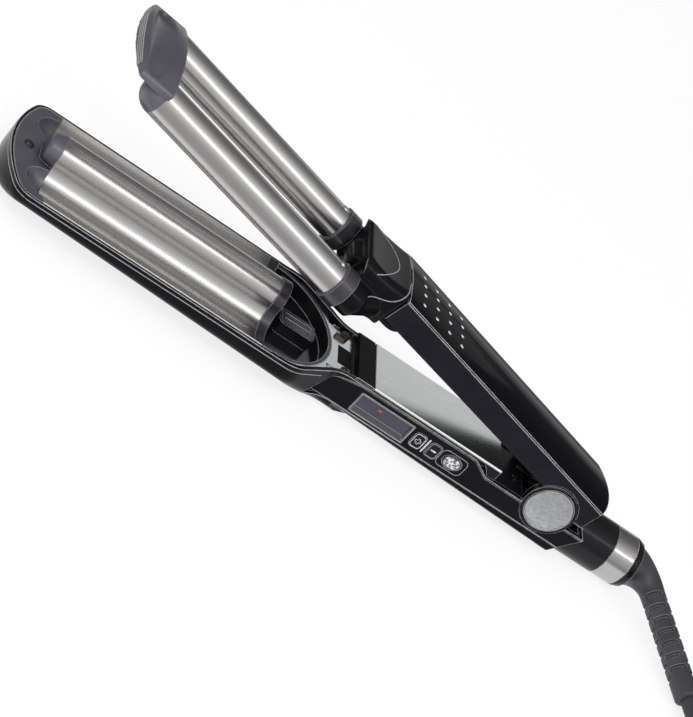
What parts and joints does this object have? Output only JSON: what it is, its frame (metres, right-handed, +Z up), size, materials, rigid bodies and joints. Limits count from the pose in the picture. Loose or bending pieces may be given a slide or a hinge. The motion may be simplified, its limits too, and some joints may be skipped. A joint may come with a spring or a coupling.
{
  "type": "hair waver",
  "caption": "Corded hair waver: two round barrels on a spring-opened arm close into the channels of a heated wave tray, with keys and display on the grip.",
  "frame": {"origin": "on the flat of the sole, below the hinge axis", "axes": "+X towards the cord, +Y away from the keys, +Z up from the sole, with the arms open at rest"},
  "size_m": [0.4907, 0.162, 0.0892],
  "materials": {
    "shell_black": "gloss",
    "chassis_plastic": "satin",
    "dark_plastic": "satin",
    "liner_plastic": "matt",
    "titanium": "satin",
    "heater_core": "plain",
    "deck_metal": "polished",
    "disc_metal": "brushed",
    "steel": "plain",
    "screw_steel": "blackened",
    "chrome_ring": "polished",
    "cap_plastic": "satin",
    "pad_rubber": "matt",
    "boot_rubber": "matt",
    "tie_rubber": "matt",
    "plug_plastic": "satin",
    "key_plastic": "gloss",
    "lens_glass": "smoked",
    "board": "laminate",
    "module": "plain"
  },
  "bodies": {
    "root": {"cap_screw": "screw_steel", "control_board": "board", "cross_bar": "shell_black", "deck_frame": "chassis_plastic", "deck_plate": "deck_metal", "display_bezel": "shell_black", "display_lens": "lens_glass", "display_module": "module", "heel_pad": "pad_rubber", "hinge_bezel_left": "shell_black", "hinge_bezel_right": "shell_black", "hinge_cap_left": "disc_metal", "hinge_cap_right": "disc_metal", "hinge_pin": "steel", "latch_plate": "deck_metal", "latch_screws": "screw_steel", "lead_clamp": "screw_steel", "lower_shell": "shell_black", "neck_block": "liner_plastic", "neck_liner": "liner_plastic", "return_spring": "steel", "side_panel_left": "shell_black", "side_panel_right": "shell_black", "tact_switches": "module", "tail_barrel": "shell_black", "tail_cap": "cap_plastic", "tail_ring": "chrome_ring", "tray_carrier": "liner_plastic", "tray_end_cap": "dark_plastic", "tray_heater": "liner_plastic", "tray_rear_ring": "dark_plastic", "wave_tray": "titanium"},
    "upper_arm": {"upper_chassis": "chassis_plastic", "upper_cover": "shell_black", "upper_neck": "shell_black", "barrel_left": "titanium", "barrel_right": "titanium", "barrel_collar_left": "dark_plastic", "barrel_collar_right": "dark_plastic", "barrel_tip_left": "dark_plastic", "barrel_tip_right": "dark_plastic", "barrel_heaters": "heater_core", "finger_rest": "dark_plastic"},
    "button_plus": {"button_plus": "key_plastic"},
    "button_minus": {"button_minus": "key_plastic"},
    "button_power": {"button_power": "key_plastic"},
    "swivel": {"swivel_collar": "cap_plastic", "cord_boot": "boot_rubber", "cord_lead": "boot_rubber", "cord_coil": "boot_rubber", "cord_tail": "boot_rubber", "cord_tie": "tie_rubber", "mains_plug": "plug_plastic"}
  },
  "joints": [
    {"name": "arm_hinge", "type": "hinge", "parent": "root", "child": "upper_arm", "pos_m": [0, 0, 0.02299], "axis": [0, 1, 0], "range_deg": [-12.9, 0], "stiffness_Nm_per_rad": 1.2, "springref_deg": 22.92},
    {"name": "plus_press", "type": "slide", "parent": "root", "child": "button_plus", "axis": [0, 1, 0], "range_m": [0, 0.0006], "stiffness_N_per_m": 800, "springref_m": -0.0004},
    {"name": "minus_press", "type": "slide", "parent": "root", "child": "button_minus", "axis": [0, 1, 0], "range_m": [0, 0.0006], "stiffness_N_per_m": 800, "springref_m": -0.0004},
    {"name": "power_press", "type": "slide", "parent": "root", "child": "button_power", "axis": [0, 1, 0], "range_m": [0, 0.0006], "stiffness_N_per_m": 800, "springref_m": -0.0004},
    {"name": "cord_swivel", "type": "hinge", "parent": "root", "child": "swivel", "pos_m": [0.05527, 0, 0.01344], "axis": [0.9997, 0, 0.0262], "continuous": true}
  ]
}
